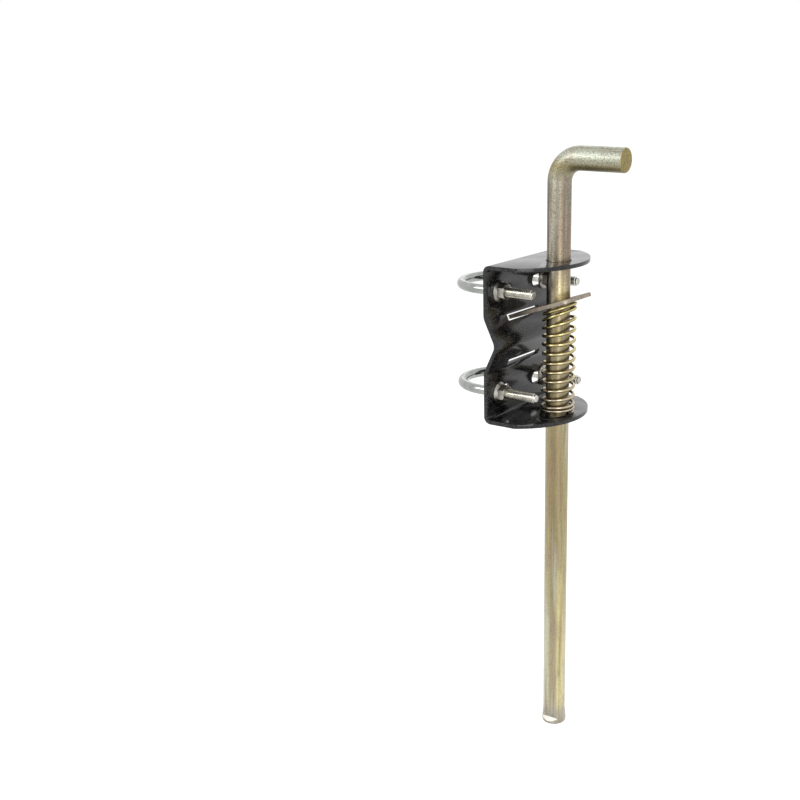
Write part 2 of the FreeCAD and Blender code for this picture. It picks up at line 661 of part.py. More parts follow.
doc.recompute()
NODES = [
    "bracket",
    "drop_rod",
    "lock_lever",
    "spring",
    "upper_u_bolt",
    "lower_u_bolt",
    "upper_near_nut",
    "upper_far_nut",
    "lower_near_nut",
    "lower_far_nut",
]
for thing in doc.Objects:
    if "Invalid" in thing.State or "Error" in thing.State:
        raise ValueError(thing.Name + " does not compute")
os.makedirs("parts", exist_ok=True)
for node in NODES:
    thing = next(t for t in doc.Objects if t.Label == node)
    shape = thing.Shape
    if shape.isNull() or not shape.isValid() or len(shape.Solids) != 1:
        raise ValueError(node + " is not one valid solid")
    shape.exportStep("parts/" + node + ".step")
    box = shape.BoundBox
    print(node, round(shape.Volume), [round(v, 1) for v in (
        box.XMin, box.XMax, box.YMin, box.YMax, box.ZMin, box.ZMax)])
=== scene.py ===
import math

import bmesh
import bpy
from mathutils import Matrix, Vector


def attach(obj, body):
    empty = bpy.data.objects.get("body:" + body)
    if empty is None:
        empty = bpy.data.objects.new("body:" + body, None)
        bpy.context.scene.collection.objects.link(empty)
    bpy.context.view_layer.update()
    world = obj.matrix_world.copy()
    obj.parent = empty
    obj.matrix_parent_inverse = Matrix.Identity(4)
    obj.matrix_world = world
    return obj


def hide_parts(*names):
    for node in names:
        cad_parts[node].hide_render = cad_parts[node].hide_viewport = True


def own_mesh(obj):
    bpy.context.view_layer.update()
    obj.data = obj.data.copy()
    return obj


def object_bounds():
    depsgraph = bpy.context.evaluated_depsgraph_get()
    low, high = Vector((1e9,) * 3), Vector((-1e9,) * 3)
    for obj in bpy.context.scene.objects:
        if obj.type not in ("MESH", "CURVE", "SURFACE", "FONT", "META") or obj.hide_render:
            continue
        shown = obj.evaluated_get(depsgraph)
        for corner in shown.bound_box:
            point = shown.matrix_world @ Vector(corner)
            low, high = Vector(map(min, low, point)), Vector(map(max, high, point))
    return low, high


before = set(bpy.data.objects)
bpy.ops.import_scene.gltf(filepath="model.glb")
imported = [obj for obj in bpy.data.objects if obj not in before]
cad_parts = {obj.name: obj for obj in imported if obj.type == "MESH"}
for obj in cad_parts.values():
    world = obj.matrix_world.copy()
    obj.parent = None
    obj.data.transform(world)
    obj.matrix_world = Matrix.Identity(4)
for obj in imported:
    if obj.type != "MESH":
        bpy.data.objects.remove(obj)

CAD_BOX = [list(corner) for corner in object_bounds()]
MM = 0.001

# Everything the solids bring is deselected before new pieces are added.
bpy.ops.object.select_all(action="DESELECT")


def srgb(code):
    """A hex colour as the linear colour that nodes take."""
    parts = [int(code[i:i + 2], 16) / 255 for i in (1, 3, 5)]
    linear = [p / 12.92 if p <= 0.04045 else ((p + 0.055) / 1.055) ** 2.4 for p in parts]
    return (*linear, 1.0)


def add_node(tree, kind, settings=None, links=None, stops=()):
    """Adds a node, sets its properties, inputs and colour stops, and links its inputs."""
    node = tree.nodes.new(kind)
    for name, value in (settings or {}).items():
        if isinstance(name, str) and hasattr(node, name):
            setattr(node, name, value)
        else:
            node.inputs[name].default_value = value
    for name, socket in (links or {}).items():
        tree.links.new(socket, node.inputs[name])
    if stops:
        elements = node.color_ramp.elements
        while len(elements) < len(stops):
            elements.new(0.5)
        for element, (position, colour) in zip(elements, stops):
            element.position = position
            element.color = colour
    return node


def new_material(name):
    """A material and its node tree, emptied."""
    material = bpy.data.materials.new(name)
    material.use_nodes = True
    tree = material.node_tree
    tree.nodes.clear()
    return material, tree


# Camera at the photograph's viewing angle. Its middle lies off the frame's middle,
# because the photograph is a crop.
CAMERA_PLACE = Vector((576.69, -867.85, 234.33)) * MM
CAMERA_YAW = math.radians(34.42)
CAMERA_PITCH = math.radians(18.02)
CAMERA_ROLL = math.radians(-0.52)
FOCAL_PIXELS = 1278.41
CENTRE_X, CENTRE_Y = 478.84, 450.41
FRAME_PIXELS = 800
SENSOR_MM = 36.0
NEAR_CLIP = 0.01


def add_camera():
    forward = Vector((-math.sin(CAMERA_YAW) * math.cos(CAMERA_PITCH),
                      math.cos(CAMERA_YAW) * math.cos(CAMERA_PITCH),
                      -math.sin(CAMERA_PITCH)))
    level = Vector((math.cos(CAMERA_YAW), math.sin(CAMERA_YAW), 0))
    upright = level.cross(forward)
    right = level * math.cos(CAMERA_ROLL) + upright * math.sin(CAMERA_ROLL)
    up = -level * math.sin(CAMERA_ROLL) + upright * math.cos(CAMERA_ROLL)
    camera = bpy.data.objects.new("camera", bpy.data.cameras.new("camera"))
    camera.data.sensor_width = SENSOR_MM
    camera.data.lens = FOCAL_PIXELS * SENSOR_MM / FRAME_PIXELS
    camera.data.shift_x = (FRAME_PIXELS / 2 - CENTRE_X) / FRAME_PIXELS
    camera.data.shift_y = (CENTRE_Y - FRAME_PIXELS / 2) / FRAME_PIXELS
    camera.data.clip_start = NEAR_CLIP
    turn = Matrix((right, up, -forward)).transposed()
    camera.matrix_world = Matrix.Translation(CAMERA_PLACE) @ turn.to_4x4()
    bpy.context.scene.collection.objects.link(camera)
    bpy.context.scene.camera = camera


add_camera()


def mottle(tree, place, size, detail=3.0, stretch=(1.0, 1.0, 1.0)):
    """A cloudy pattern whose patches are about this many metres across."""
    drawn = add_node(tree, "ShaderNodeMapping", {"Scale": stretch}, {"Vector": place})
    cloud = add_node(tree, "ShaderNodeTexNoise", {"Scale": 1 / size, "Detail": detail},
                     {"Vector": drawn.outputs["Vector"]})
    return cloud.outputs["Fac"]


def coverage(tree, strength, *measures):
    """How strongly a tint, a stain or painted light or shade, lies at a point. Each
    measure is a value with the low and the high between which it comes in, and the
    least that it counts for."""
    total, top = None, strength
    for value, low, high, *least in measures:
        share = add_node(tree, "ShaderNodeMapRange",
                         {"From Min": low, "From Max": high,
                          "To Min": least[0] if least else 0.0, "To Max": top},
                         {"Value": value}).outputs["Result"]
        if total is not None:
            share = add_node(tree, "ShaderNodeMath", {"operation": "MULTIPLY"},
                             {0: total, 1: share}).outputs["Value"]
        total, top = share, 1.0
    return total


def stain_or_painted_light(tree, base, tint, strength, *measures):
    """A colour with a tint laid over it as strongly as its coverage."""
    laid = add_node(tree, "ShaderNodeMix", {"data_type": "RGBA", 7: srgb(tint)},
                    {"Factor": coverage(tree, strength, *measures), 6: base})
    return laid.outputs[2]


def finished(tree, settings, colour, gloss, grain, depth):
    """Closes a material with its colour, its gloss and a grain of this depth. The
    gloss is a pattern, its low and high, and the roughness at each."""
    pattern, low, high, at_low, at_high = gloss
    roughness = add_node(tree, "ShaderNodeMapRange",
                         {"From Min": low, "From Max": high,
                          "To Min": at_low, "To Max": at_high}, {"Value": pattern})
    relief = add_node(tree, "ShaderNodeBump", {"Strength": 1.0, "Distance": depth},
                      {"Height": grain})
    skin = add_node(tree, "ShaderNodeBsdfPrincipled", settings,
                    {"Base Color": colour, "Roughness": roughness.outputs["Result"],
                     "Normal": relief.outputs["Normal"]})
    add_node(tree, "ShaderNodeOutputMaterial", {}, {"Surface": skin.outputs["BSDF"]})


def black_powder_coat():
    # Gloss black polyester powder, baked on to folded steel plate: a flowed skin
    # with a fine orange peel and pale specks of dust baked into it. The dust is
    # drawn coarser than it is, so that it shows.
    material, tree = new_material("gloss_black_powder_coat")
    place = add_node(tree, "ShaderNodeTexCoord").outputs["Object"]
    peel = mottle(tree, place, 1.6 * MM, 1.0)
    cloud = mottle(tree, place, 22 * MM, 4.0)
    dust = mottle(tree, place, 1.2 * MM, 2.0)
    colour = add_node(tree, "ShaderNodeValToRGB", {}, {"Fac": cloud},
                      [(0.35, srgb("#08080A")), (0.75, srgb("#121214"))]).outputs["Color"]
    colour = stain_or_painted_light(tree, colour, "#56585A", 0.52, (dust, 0.53, 0.64))
    finished(tree, {"IOR": 1.5}, colour, (cloud, 0.3, 0.8, 0.10, 0.20), peel, 0.006 * MM)
    return material


def bolt_zinc():
    # Yellow passivated zinc on drawn bar: olive gold, with drawing bands that run
    # from silver to tan along the bar, brown speckle where it is handled, painted
    # shade on the stretch inside the spring, a grey tip with a painted highlight on
    # its pressed ledge, painted highlights, shade and reflections in bands across the
    # bar, painted shade on the handle's underside, and a duller, sawn handle end. Its
    # lines and specks are drawn coarser than they are, so that they show.
    material, tree = new_material("yellow_passivated_zinc_bar")
    coordinates = add_node(tree, "ShaderNodeTexCoord").outputs
    place = coordinates["Object"]
    axes = add_node(tree, "ShaderNodeSeparateXYZ", {}, {"Vector": place}).outputs
    height = axes["Z"]
    facing = add_node(tree, "ShaderNodeSeparateXYZ", {},
                      {"Vector": coordinates["Normal"]}).outputs["Z"]
    in_handle = coverage(tree, 1.0,
                         (height, HANDLE_Z - HANDLE_BEND, HANDLE_Z - HANDLE_BEND / 3))

    def drawn(size, stretch):
        """A pattern drawn out along the bar, up its length and then along its handle."""
        upright = mottle(tree, place, size, 3.0, (1.0, 1.0, stretch))
        level = mottle(tree, place, size, 3.0, (stretch, 1.0, 1.0))
        node = add_node(tree, "ShaderNodeMix", {"data_type": "FLOAT"},
                        {"Factor": in_handle, "A": upright, "B": level})
        return node.outputs["Result"]

    def between(low, high, edge):
        """The two measures of a stretch of the bar's height with faded ends."""
        return (height, low - edge, low + edge), (height, high + edge, high - edge)

    band = drawn(6.5 * MM, 0.05)
    lines = drawn(0.9 * MM, 0.035)
    cloud = mottle(tree, place, 13 * MM, 4.0, (1.0, 1.0, 0.5))
    speck = mottle(tree, place, 0.9 * MM, 2.0)
    along = coverage(tree, 1.0, (height, TIP_Z, HANDLE_Z))
    # Up the bar the colour runs from a grey tip to a light stretch low on the bar, partly its own
    # tone and partly painted light, and darkens below the handle.
    colour = add_node(tree, "ShaderNodeValToRGB", {}, {"Fac": along},
                      [(0.0, srgb("#B7B3A8")), (0.028, srgb("#BDB9AB")),
                       (0.05, srgb("#EDE6C6")), (0.16, srgb("#DDD4AC")),
                       (0.32, srgb("#BDB388")), (0.56, srgb("#AEA27C")),
                       (0.74, srgb("#B4A686")), (0.88, srgb("#968C7E")),
                       (0.945, srgb("#9C9686")), (1.0, srgb("#C2C8B8"))]).outputs["Color"]

    # Painted light in bands. Three lie low on the bar: tan painted shade in the middle,
    # pale painted highlights at the sides and a gold painted highlight to the right.
    # Above them are a bright gold painted reflection above the lever and a dark painted
    # reflection above the bracket, placed from 0 at one side of the bar to 1 at the other.
    across = add_node(tree, "ShaderNodeVectorMath",
                      {"operation": "DOT_PRODUCT", 1: PAINTED_BAND_ACROSS}, {0: place}).outputs["Value"]
    middle = PAINTED_BAND_ACROSS[0] * BOLT_X
    side = coverage(tree, 1.0, (across, middle - BOLT_RADIUS, middle + BOLT_RADIUS))
    tan_painted_shade = [(0.16, 0.0), (0.28, 0.85), (0.5, 0.75), (0.64, 0.0)]
    pale_painted_highlight = [(0.0, 1.0), (0.12, 0.8), (0.24, 0.0), (0.84, 0.0), (0.94, 0.8)]
    gold_painted_highlight = [(0.5, 0.0), (0.64, 1.0), (0.8, 0.9), (0.92, 0.0)]
    gold_painted_reflection = [(0.3, 0.0), (0.5, 1.0), (0.74, 1.0), (0.92, 0.0)]
    dark_painted_reflection = [(0.0, 1.0), (0.1, 0.6), (0.26, 0.0)]
    for shape, tint, low, high in ((tan_painted_shade, "#8F7F60", TIP_TOP, -75 * MM),
                                   (pale_painted_highlight, "#D2D6C4", TIP_TOP, -225 * MM),
                                   (gold_painted_highlight, "#F0E2A2", TIP_TOP, -205 * MM),
                                   (gold_painted_reflection, "#FFF2BC", 26 * MM, 46 * MM),
                                   (dark_painted_reflection, "#453E36", 30 * MM, 124 * MM)):
        painted_light_shape = add_node(tree, "ShaderNodeValToRGB", {}, {"Fac": side},
                          [(at, (shade, shade, shade, 1.0)) for at, shade in shape])
        colour = stain_or_painted_light(tree, colour, tint, PAINTED_BAND_STRENGTH, *between(low, high, PAINTED_BAND_FADE),
                         (painted_light_shape.outputs["Color"], 0.0, 1.0))

    # Silver and tan bands, a pink bloom, dark drawing lines, and painted shade where the spring
    # runs round the bar.
    colour = stain_or_painted_light(tree, colour, "#D9D6C2", 0.55, (band, 0.52, 0.66))
    colour = stain_or_painted_light(tree, colour, "#9C8468", 0.55, (band, 0.48, 0.34))
    colour = stain_or_painted_light(tree, colour, "#A58D84", 0.32, (cloud, 0.52, 0.68))
    colour = stain_or_painted_light(tree, colour, "#6E5F4C", 0.40, (lines, 0.52, 0.70))
    colour = stain_or_painted_light(tree, colour, "#6A5E36", 0.42, *between(SPRING_LOW, SPRING_HIGH, 10 * MM))
    # Painted shade in darker gold on the handle's underside, its sawn end, brown speckle, and a
    # painted highlight on the pressed ledge.
    colour = stain_or_painted_light(tree, colour, "#9C9062", 0.8,
                     (height, HANDLE_Z + 2 * MM, HANDLE_Z - 6 * MM), (in_handle, 0.0, 1.0))
    colour = stain_or_painted_light(tree, colour, "#A39560", 1.0,
                     (axes["X"], HANDLE_END_X - 0.9 * MM, HANDLE_END_X - 0.3 * MM))
    colour = stain_or_painted_light(tree, colour, "#5E5044", 0.60, (speck, 0.50, 0.62), (along, 0.70, 0.88, 0.45))
    # Painted highlight: the up-facing pressed ledge of the tip is painted near white.
    colour = stain_or_painted_light(tree, colour, "#E6E4DC", 1.0, (facing, 0.25, 0.4),
                     (height, TIP_Z + NOTCH_TOP, TIP_TOP))
    finished(tree, {"Metallic": 1.0}, colour, (height, 60 * MM, 120 * MM, 0.32, 0.46),
             lines, 0.012 * MM)
    return material


def spring_zinc():
    # Yellow passivated zinc on hard-drawn wire: brighter and more brassy than the
    # bar, going pinkish silver in the lower turns. The underside of each turn is
    # painted dark brown as painted shade. The scratches of coiling are drawn coarser
    # than they are, so that they show.
    material, tree = new_material("yellow_passivated_zinc_wire")
    coordinates = add_node(tree, "ShaderNodeTexCoord").outputs
    place = coordinates["Object"]
    height = add_node(tree, "ShaderNodeSeparateXYZ", {}, {"Vector": place}).outputs["Z"]
    facing = add_node(tree, "ShaderNodeSeparateXYZ", {},
                      {"Vector": coordinates["Normal"]}).outputs["Z"]
    cloud = mottle(tree, place, 9 * MM, 3.0)
    scratch = mottle(tree, place, 0.4 * MM, 2.0)
    along = coverage(tree, 1.0, (height, SPRING_LOW, SPRING_HIGH))
    colour = add_node(tree, "ShaderNodeValToRGB", {}, {"Fac": along},
                      [(0.0, srgb("#C6BAA4")), (0.35, srgb("#CABB98")),
                       (0.7, srgb("#D2C48C")), (1.0, srgb("#D6CA8C"))]).outputs["Color"]
    colour = stain_or_painted_light(tree, colour, "#A88D7C", 0.40, (cloud, 0.52, 0.70))
    # Painted shade: the undersides of the turns, found by the height of their normal, are dark
    # brown.
    colour = stain_or_painted_light(tree, colour, "#43371D", 0.82, (facing, 0.1, -0.65))
    colour = stain_or_painted_light(tree, colour, "#6A5C3C", 0.35, (scratch, 0.60, 0.75))
    finished(tree, {"Metallic": 1.0}, colour, (cloud, 0.3, 0.7, 0.17, 0.28), scratch, 0.004 * MM)
    return material


def lever_zinc():
    # Pale, slightly pink zinc on blanked plate, dull where the shear tore its edge
    # in upright streaks.
    material, tree = new_material("pale_passivated_zinc_plate")
    place = add_node(tree, "ShaderNodeTexCoord").outputs["Object"]
    cloud = mottle(tree, place, 8 * MM, 4.0)
    torn = mottle(tree, place, 0.6 * MM, 3.0, (1.0, 1.0, 0.2))
    colour = add_node(tree, "ShaderNodeValToRGB", {}, {"Fac": cloud},
                      [(0.3, srgb("#8F857A")), (0.5, srgb("#A2978B")),
                       (0.7, srgb("#AEA58E"))]).outputs["Color"]
    colour = stain_or_painted_light(tree, colour, "#6A5C54", 0.55, (torn, 0.52, 0.72))
    finished(tree, {"Metallic": 1.0}, colour, (torn, 0.3, 0.7, 0.32, 0.48), torn, 0.02 * MM)
    return material


def clear_zinc(name, pale, dark, roughness):
    # Bright clear-passivated zinc on cold-formed steel, a little warm, with grey
    # shadows where the plating is thin, and a darker, cooler grey and a smoother skin
    # on the bend behind the web. The grain of the plating is drawn coarser than it
    # is, so that it shows.
    material, tree = new_material(name)
    place = add_node(tree, "ShaderNodeTexCoord").outputs["Object"]
    cloud = mottle(tree, place, 5 * MM, 4.0)
    grain = mottle(tree, place, 0.35 * MM, 2.0)
    forward = add_node(tree, "ShaderNodeSeparateXYZ", {}, {"Vector": place}).outputs["X"]
    colour = add_node(tree, "ShaderNodeValToRGB", {}, {"Fac": cloud},
                      [(0.32, srgb(dark)), (0.62, srgb(pale))]).outputs["Color"]
    colour = stain_or_painted_light(tree, colour, "#6C6A66", 0.55, (grain, 0.56, 0.72))
    # Darker, cooler grey towards the bend behind the web.
    colour = stain_or_painted_light(tree, colour, "#868D8E", 0.65, (forward, 22 * MM, 10 * MM))
    finished(tree, {"Metallic": 1.0}, colour, (forward, 10 * MM, 22 * MM, 0.13, roughness),
             grain, 0.003 * MM)
    return material


# Sizes that the finishes share with the pieces.
BOLT_X = 60.3 * MM
BOLT_RADIUS = 9.51 * MM
HANDLE_Z = 144 * MM
HANDLE_BEND = 19 * MM
HANDLE_REACH = 58.09 * MM
HANDLE_END_X = BOLT_X + HANDLE_REACH
TIP_Z = -346 * MM
TIP_LENGTH = 14 * MM
TIP_TOP = TIP_Z + TIP_LENGTH
NOTCH_TOP = 16 * MM
LEVER_TILT = math.radians(18.7)
LEVER_HOLE_Z = 29.60 * MM
LEVER_THICKNESS = 3.2 * MM
SPRING_WIRE = 2.6 * MM
SPRING_PLAY = 0.06 * MM
SPRING_SHIFT = 1.4 * MM
LOWER_EAR_Z = -60.8 * MM
SPRING_LOW = LOWER_EAR_Z + SPRING_WIRE / 2 + SPRING_PLAY
SPRING_HIGH = (LEVER_HOLE_Z + SPRING_SHIFT * math.tan(LEVER_TILT)
               - (LEVER_THICKNESS / 2 + SPRING_WIRE / 2 + SPRING_PLAY) / math.cos(LEVER_TILT))

# The bolt's bands of painted highlight, shade and reflection: the level way across
# them, how strong they are and over what height they fade out.
PAINTED_BAND_ACROSS = (0.83, 0.56, 0)
PAINTED_BAND_STRENGTH = 0.75
PAINTED_BAND_FADE = 12 * MM

COAT = black_powder_coat()
BOLT_ZINC = bolt_zinc()
SPRING_ZINC = spring_zinc()
LEVER_ZINC = lever_zinc()
CLAMP_ZINC = clear_zinc("bright_clear_zinc_wire", "#E0DED4", "#B8B6AE", 0.26)
NUT_ZINC = clear_zinc("bright_clear_zinc_nut", "#BDBAB0", "#8E8B84", 0.30)
FINISHES = {
    "bracket": COAT,
    "drop_rod": BOLT_ZINC,
    "lock_lever": LEVER_ZINC,
    "spring": SPRING_ZINC,
    "upper_u_bolt": CLAMP_ZINC,
    "lower_u_bolt": CLAMP_ZINC,
}
for name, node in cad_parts.items():
    node.data.materials.clear()
    node.data.materials.append(FINISHES.get(name, NUT_ZINC))


# Shared steps of the metal work.
MERGE_GAP = 0.002 * MM
SAME_PLANE = math.radians(0.4)
SHARP_EDGE = math.radians(38)
SMOOTH_UP_TO = math.radians(32)
END_FACE_GAP = 0.1 * MM
EDGE_SEGMENTS = 3
TURN_TO_X = math.pi / 2


def clear_selection():
    bpy.ops.object.select_all(action="DESELECT")


def hand_over(piece, name, node, body, finish):
    """Names a finished piece, gives it its finish and hangs it on its body."""
    piece.name = name
    piece.data.name = name
    piece.data.materials.clear()
    piece.data.materials.append(finish)
    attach(piece, body)
    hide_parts(node)


def round_edges(piece, width, least_angle):
    """Rounds every edge sharper than the given angle over, and smooths the rest."""
    clear_selection()
    piece.select_set(True)
    bpy.context.view_layer.objects.active = piece
    edge = piece.modifiers.new("worn_edges", "BEVEL")
    edge.width = width
    edge.segments = EDGE_SEGMENTS
    edge.limit_method = "ANGLE"
    edge.angle_limit = least_angle
    bpy.ops.object.modifier_apply(modifier=edge.name)
    bpy.ops.object.shade_smooth_by_angle(angle=SMOOTH_UP_TO)


def edge_rounded_copy(node, width):
    """A copy of a solid, merged into plain faces, with its edges rounded over."""
    piece = bpy.data.objects.new(node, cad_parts[node].data.copy())
    bpy.context.scene.collection.objects.link(piece)
    clear_selection()
    piece.select_set(True)
    bpy.context.view_layer.objects.active = piece
    bpy.ops.object.mode_set(mode="EDIT")
    bpy.ops.mesh.select_all(action="SELECT")
    bpy.ops.mesh.remove_doubles(threshold=MERGE_GAP)
    bpy.ops.mesh.dissolve_limited(angle_limit=SAME_PLANE)
    bpy.ops.mesh.normals_make_consistent(inside=False)
    bpy.ops.object.mode_set(mode="OBJECT")
    round_edges(piece, width, SHARP_EDGE)
    return piece


def start_ring(centre, radius, along, sides):
    """An open ring of edges to draw a bar out of, left selected in edit mode."""
    clear_selection()
    turn = (0, TURN_TO_X, 0) if along == "x" else (0, 0, 0)
    bpy.ops.mesh.primitive_circle_add(vertices=sides, radius=radius, location=centre,
                                      rotation=turn)
    piece = bpy.context.active_object
    bpy.ops.object.transform_apply(location=True, rotation=True, scale=True)
    bpy.ops.object.mode_set(mode="EDIT")
    bpy.ops.mesh.select_mode(type="EDGE")
    bpy.ops.mesh.select_all(action="SELECT")
    return piece


def draw_out(step):
    """Draws the selected ring or face out by a step."""
    bpy.ops.mesh.extrude_region_move(TRANSFORM_OT_translate={"value": step})


def swell(factor, centre):
    """Widens the selected ring about its centre."""
    bpy.ops.transform.resize(value=(factor, factor, factor), center_override=centre)


def close_ends():
    """Caps a bar's open ends and turns its faces outwards."""
    bpy.ops.mesh.select_all(action="SELECT")
    bpy.ops.mesh.fill_holes(sides=0)
    bpy.ops.mesh.select_all(action="SELECT")
    bpy.ops.mesh.remove_doubles(threshold=MERGE_GAP)
    bpy.ops.mesh.normals_make_consistent(inside=False)


def chamfer_rim(is_end_face, offset, segments):
    """Bevels the rim of the flat end faces that pass the test."""
    bpy.ops.mesh.select_mode(type="FACE")
    bpy.ops.mesh.select_all(action="DESELECT")
    steel = bmesh.from_edit_mesh(bpy.context.edit_object.data)
    for face in steel.faces:
        face.select_set(is_end_face(face.calc_center_median()))
    bmesh.update_edit_mesh(bpy.context.edit_object.data)
    bpy.ops.mesh.region_to_loop()
    bpy.ops.mesh.bevel(offset=offset, segments=segments, affect="EDGES")


# Bracket: one folded plate, its punched edges just rounded by the coat.
BRACKET_EDGE = 0.55 * MM
bracket = edge_rounded_copy("bracket", BRACKET_EDGE)
hand_over(bracket, "folded_bracket", "bracket", "body", COAT)

# Lever: a flat blanked plate, lightly deburred.
LEVER_EDGE = 0.35 * MM
lever = edge_rounded_copy("lock_lever", LEVER_EDGE)
hand_over(lever, "locking_lever", "lock_lever", "lever", LEVER_ZINC)

# Four flange nuts, alike.
NUT_EDGE = 0.18 * MM
for level in ("upper", "lower"):
    for side in ("near", "far"):
        nut = edge_rounded_copy(f"{level}_{side}_nut", NUT_EDGE)
        hand_over(nut, f"flange_nut_{level}_{side}", f"{level}_{side}_nut", "body",
                  NUT_ZINC)

# Sliding bolt: round bar drawn up from its pressed tip and bent for the handle.
BOLT_SIDES = 96
BOLT_EDGE = 0.5 * MM
BOLT_EDGE_ANGLE = math.radians(24)
HANDLE_ROUND = 1.4 * MM
HANDLE_ROUND_SEGMENTS = 5
BEND_STEPS = 32
# Each ring of the pressed tip: its height, and how far it flares past the bar.
TIP_RINGS = ((1.4 * MM, 0.5 * MM), (3.5 * MM, 1.0 * MM), (TIP_LENGTH, 0.0))


def sliding_bolt():
    rim = BOLT_RADIUS - HANDLE_ROUND
    bar = start_ring((BOLT_X, 0, TIP_Z), rim, "z", BOLT_SIDES)
    height, radius = 0.0, rim
    for ring_height, flare in TIP_RINGS:
        draw_out((0, 0, ring_height - height))
        height = ring_height
        swell((BOLT_RADIUS + flare) / radius, (BOLT_X, 0, TIP_Z + height))
        radius = BOLT_RADIUS + flare
    draw_out((0, 0, HANDLE_Z - HANDLE_BEND - TIP_Z - height))
    bpy.ops.mesh.spin(steps=BEND_STEPS, angle=-TURN_TO_X, axis=(0, 1, 0),
                      center=(BOLT_X + HANDLE_BEND, 0, HANDLE_Z - HANDLE_BEND))
    draw_out((HANDLE_REACH - HANDLE_BEND, 0, 0))
    close_ends()
    chamfer_rim(lambda at: at.x > HANDLE_END_X - END_FACE_GAP, HANDLE_ROUND,
                HANDLE_ROUND_SEGMENTS)
    bpy.ops.object.mode_set(mode="OBJECT")
    return bar


# The two pressed notches of the tip, as the tool that squeezes them in.
NOTCH_DEPTH = 2.8 * MM
NOTCH_FLOOR = 6.2 * MM
NOTCH_BOTTOM = 3.4 * MM
NOTCH_OUT = BOLT_RADIUS + 1.28 * MM
NOTCH_LENGTH = 40 * MM


def press_notch(bar, side):
    clear_selection()
    bpy.ops.mesh.primitive_circle_add(vertices=3, radius=NOTCH_TOP, fill_type="NGON",
                                      location=(0, 0, 0), rotation=(0, TURN_TO_X, 0))
    tool = bpy.context.active_object
    bpy.ops.object.transform_apply(location=True, rotation=True, scale=True)
    corners = ((side * NOTCH_OUT, NOTCH_TOP),
               (side * (BOLT_RADIUS - NOTCH_DEPTH), NOTCH_FLOOR),
               (side * NOTCH_OUT, NOTCH_BOTTOM))
    for vertex, (across, up) in zip(tool.data.vertices, corners):
        vertex.co = (BOLT_X - NOTCH_LENGTH / 2, across, TIP_Z + up)
    bpy.ops.object.mode_set(mode="EDIT")
    bpy.ops.mesh.select_all(action="SELECT")
    draw_out((NOTCH_LENGTH, 0, 0))
    bpy.ops.mesh.select_all(action="SELECT")
    bpy.ops.mesh.normals_make_consistent(inside=False)
    bpy.ops.object.mode_set(mode="OBJECT")
    press = bar.modifiers.new("press", "BOOLEAN")
    press.operation = "DIFFERENCE"
    press.object = tool
    press.solver = "EXACT"
    clear_selection()
    bar.select_set(True)
    bpy.context.view_layer.objects.active = bar
    bpy.ops.object.modifier_apply(modifier=press.name)
    bpy.data.objects.remove(tool, do_unlink=True)


bolt = sliding_bolt()
for notch_side in (-1, 1):
    press_notch(bolt, notch_side)
round_edges(bolt, BOLT_EDGE, BOLT_EDGE_ANGLE)
hand_over(bolt, "sliding_bolt", "drop_rod", "rod", BOLT_ZINC)

# U-bolts: round wire bent to a half circle, with both legs threaded.
WIRE_RADIUS = 3.97 * MM
LEG_SPREAD = 34.1 * MM
CLAMP_RISE = 41.5 * MM
# Where the inside of the bend lies at the back.
CLAMP_BACK = -22.225 * MM
CLAMP_BEND_X = LEG_SPREAD - WIRE_RADIUS + CLAMP_BACK
UPPER_LEG_FRONT = 58.6 * MM
LOWER_LEG_FRONT = 61.5 * MM
LEG_CHAMFER = 0.9 * MM
LEG_RIM = 0.4 * MM
WIRE_SIDES = 48
PITCH = 1.41 * MM
THREAD_ROOT = 3.12 * MM
THREAD_CREST = 3.94 * MM
THREAD_LENGTH = 34 * MM
THREAD_RUNOUT = 0.8 * MM
THREAD_STEPS = 30
RIDGE_FOOT = THREAD_ROOT - 0.12 * MM
RIDGE_BASE = 0.44 * PITCH
RIDGE_FLAT = 0.07 * PITCH
RIDGE_SMOOTH_UP_TO = math.radians(25)


def leg_thread(front, across, rise):
    """The ridge of a rolled thread, wound once along one leg."""
    clear_selection()
    turns = int(THREAD_LENGTH / PITCH)
    bpy.ops.mesh.primitive_circle_add(vertices=4, radius=PITCH, location=(0, 0, 0))
    ridge = bpy.context.active_object
    section = ((RIDGE_FOOT, -RIDGE_BASE), (THREAD_CREST, -RIDGE_FLAT),
               (THREAD_CREST, RIDGE_FLAT), (RIDGE_FOOT, RIDGE_BASE))
    for vertex, (radius, along) in zip(ridge.data.vertices, section):
        vertex.co = (radius, 0, along)
    wind = ridge.modifiers.new("wind", "SCREW")
    wind.axis = "Z"
    wind.angle = 2 * math.pi
    wind.screw_offset = PITCH
    wind.iterations = turns
    wind.steps = wind.render_steps = THREAD_STEPS
    bpy.ops.object.modifier_apply(modifier=wind.name)
    ridge.rotation_euler = (0, TURN_TO_X, 0)
    ridge.location = (front - LEG_CHAMFER - PITCH / 2 - turns * PITCH, across, rise)
    bpy.ops.object.transform_apply(location=True, rotation=True, scale=True)
    bpy.ops.object.mode_set(mode="EDIT")
    close_ends()
    bpy.ops.object.mode_set(mode="OBJECT")
    return ridge


